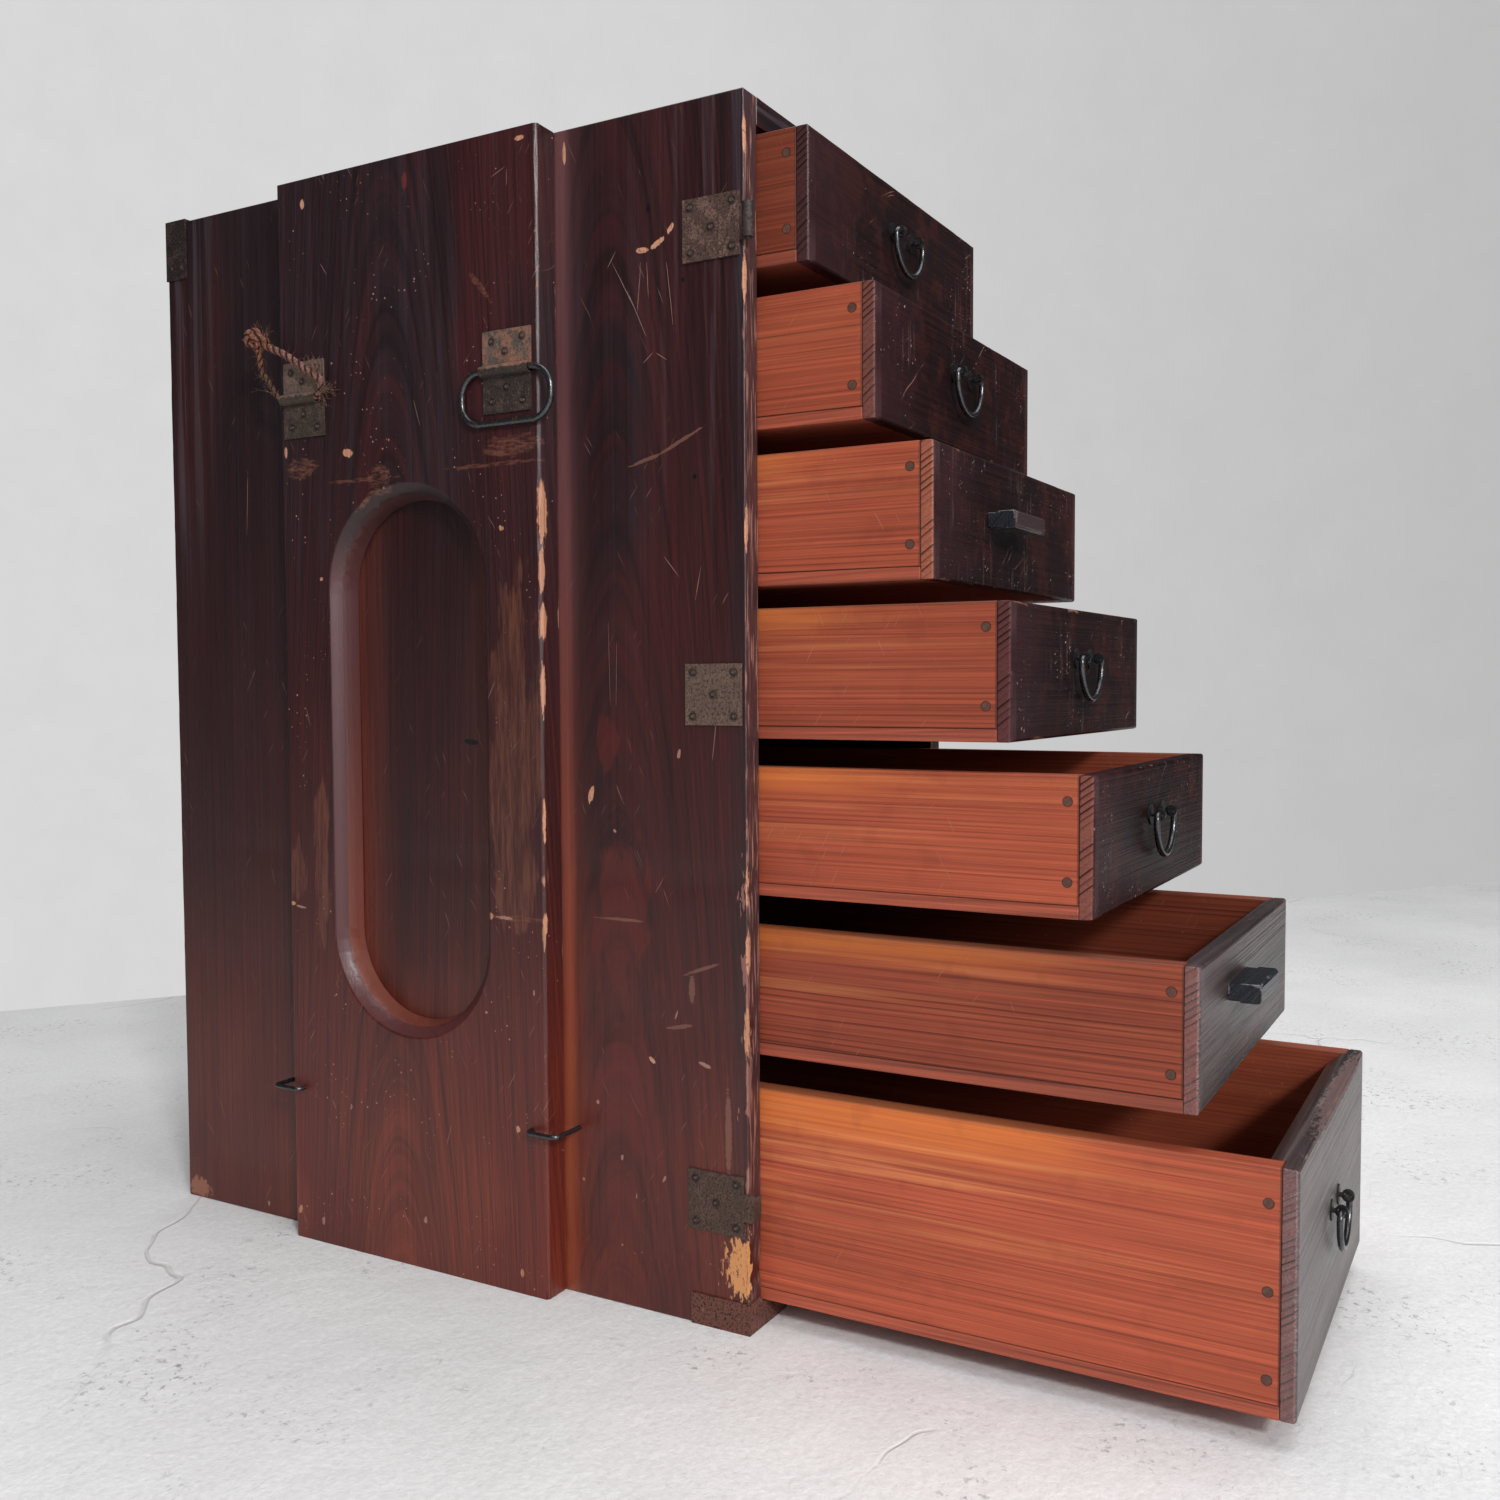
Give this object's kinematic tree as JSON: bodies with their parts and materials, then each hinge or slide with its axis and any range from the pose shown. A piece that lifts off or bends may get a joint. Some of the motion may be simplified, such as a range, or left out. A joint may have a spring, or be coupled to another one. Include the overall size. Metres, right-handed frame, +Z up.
{
  "type": "portable drawer cabinet",
  "caption": "Tall narrow wooden case with sliding pegged drawers at the front, iron bail pulls, and a thick recessed strap pad on one side for carrying it on the back.",
  "frame": {"origin": "middle of the case's base, on the surface that it stands on (the open drawers and the strap pad reach past the case)", "axes": "+Z up; -Y out of the open front, the way the drawers slide out; -X towards the carrier's back, on the strap pad's side"},
  "size_m": [0.323, 0.7739, 0.7012],
  "materials": {
    "case_wood": "dark red-brown stain, worn satin",
    "pad_wood": "dark red-brown stain, rubbed satin",
    "drawer_wood": "bare orange-red cedar, dull",
    "front_wood": "dark brown stain, worn satin",
    "runner_wood": "bare softwood, dull",
    "peg_wood": "bare hardwood, dull",
    "block_wood": "blackened hardwood, dull",
    "rusty_iron": "rusted, matt",
    "dark_iron": "blackened wrought iron, matt",
    "rope": "dry twisted plant fibre, frayed"
  },
  "bodies": {
    "case": {"strap_side_board": "case_wood", "far_side_board": "case_wood", "top_board": "case_wood", "bottom_board": "case_wood", "back_planks": "case_wood", "strap_pad": "pad_wood", "drawer_runners": "runner_wood", "hinge_leaves": "rusty_iron", "corner_straps": "rusty_iron", "strap_plates": "rusty_iron", "staples": "dark_iron", "rope_remnant": "rope"},
    "strap_ring": {"strap_ring": "dark_iron"},
    "drawer_1": {"drawer_1_front": "front_wood", "drawer_1_sides": "drawer_wood", "drawer_1_back": "drawer_wood", "drawer_1_bottom": "drawer_wood", "drawer_1_pegs": "peg_wood", "drawer_1_eyes": "dark_iron"},
    "drawer_2": {"drawer_2_front": "front_wood", "drawer_2_sides": "drawer_wood", "drawer_2_back": "drawer_wood", "drawer_2_bottom": "drawer_wood", "drawer_2_pegs": "peg_wood", "drawer_2_eyes": "dark_iron"},
    "drawer_3": {"drawer_3_front": "front_wood", "drawer_3_sides": "drawer_wood", "drawer_3_back": "drawer_wood", "drawer_3_bottom": "drawer_wood", "drawer_3_pegs": "peg_wood", "drawer_3_block": "block_wood"},
    "drawer_4": {"drawer_4_front": "front_wood", "drawer_4_sides": "drawer_wood", "drawer_4_back": "drawer_wood", "drawer_4_bottom": "drawer_wood", "drawer_4_pegs": "peg_wood", "drawer_4_eyes": "dark_iron"},
    "drawer_5": {"drawer_5_front": "front_wood", "drawer_5_sides": "drawer_wood", "drawer_5_back": "drawer_wood", "drawer_5_bottom": "drawer_wood", "drawer_5_pegs": "peg_wood", "drawer_5_eyes": "dark_iron"},
    "drawer_6": {"drawer_6_front": "front_wood", "drawer_6_sides": "drawer_wood", "drawer_6_back": "drawer_wood", "drawer_6_bottom": "drawer_wood", "drawer_6_pegs": "peg_wood", "drawer_6_block": "block_wood"},
    "drawer_7": {"drawer_7_front": "front_wood", "drawer_7_sides": "drawer_wood", "drawer_7_back": "drawer_wood", "drawer_7_bottom": "drawer_wood", "drawer_7_pegs": "peg_wood", "drawer_7_eyes": "dark_iron"},
    "bail_1": {"drawer_1_bail": "dark_iron"},
    "bail_2": {"drawer_2_bail": "dark_iron"},
    "bail_4": {"drawer_4_bail": "dark_iron"},
    "bail_5": {"drawer_5_bail": "dark_iron"},
    "bail_7": {"drawer_7_bail": "dark_iron"}
  },
  "joints": [
    {"name": "drawer_1_slide", "type": "slide", "parent": "case", "child": "drawer_1", "axis": [0, -1, 0], "range_m": [-0.05, 0.346]},
    {"name": "drawer_2_slide", "type": "slide", "parent": "case", "child": "drawer_2", "axis": [0, -1, 0], "range_m": [-0.09, 0.306]},
    {"name": "drawer_3_slide", "type": "slide", "parent": "case", "child": "drawer_3", "axis": [0, -1, 0], "range_m": [-0.124, 0.272]},
    {"name": "drawer_4_slide", "type": "slide", "parent": "case", "child": "drawer_4", "axis": [0, -1, 0], "range_m": [-0.167, 0.229]},
    {"name": "drawer_5_slide", "type": "slide", "parent": "case", "child": "drawer_5", "axis": [0, -1, 0], "range_m": [-0.211, 0.185]},
    {"name": "drawer_6_slide", "type": "slide", "parent": "case", "child": "drawer_6", "axis": [0, -1, 0], "range_m": [-0.264, 0.132]},
    {"name": "drawer_7_slide", "type": "slide", "parent": "case", "child": "drawer_7", "axis": [0, -1, 0], "range_m": [-0.311, 0.085]},
    {"name": "bail_1_swing", "type": "hinge", "parent": "drawer_1", "child": "bail_1", "pos_m": [0, -0.2735, 0.651], "axis": [-1, 0, 0], "range_deg": [-8, 160]},
    {"name": "bail_2_swing", "type": "hinge", "parent": "drawer_2", "child": "bail_2", "pos_m": [0, -0.3135, 0.56105], "axis": [-1, 0, 0], "range_deg": [-8, 160]},
    {"name": "bail_4_swing", "type": "hinge", "parent": "drawer_4", "child": "bail_4", "pos_m": [0, -0.3905, 0.38665], "axis": [-1, 0, 0], "range_deg": [-8, 160]},
    {"name": "bail_5_swing", "type": "hinge", "parent": "drawer_5", "child": "bail_5", "pos_m": [0, -0.4345, 0.2967], "axis": [-1, 0, 0], "range_deg": [-8, 160]},
    {"name": "bail_7_swing", "type": "hinge", "parent": "drawer_7", "child": "bail_7", "pos_m": [0, -0.5345, 0.0833], "axis": [-1, 0, 0], "range_deg": [-8, 160]},
    {"name": "strap_ring_swing", "type": "hinge", "parent": "case", "child": "strap_ring", "pos_m": [-0.1643, -0.084, 0.5595], "axis": [0, 1, 0], "range_deg": [0, 175]}
  ]
}
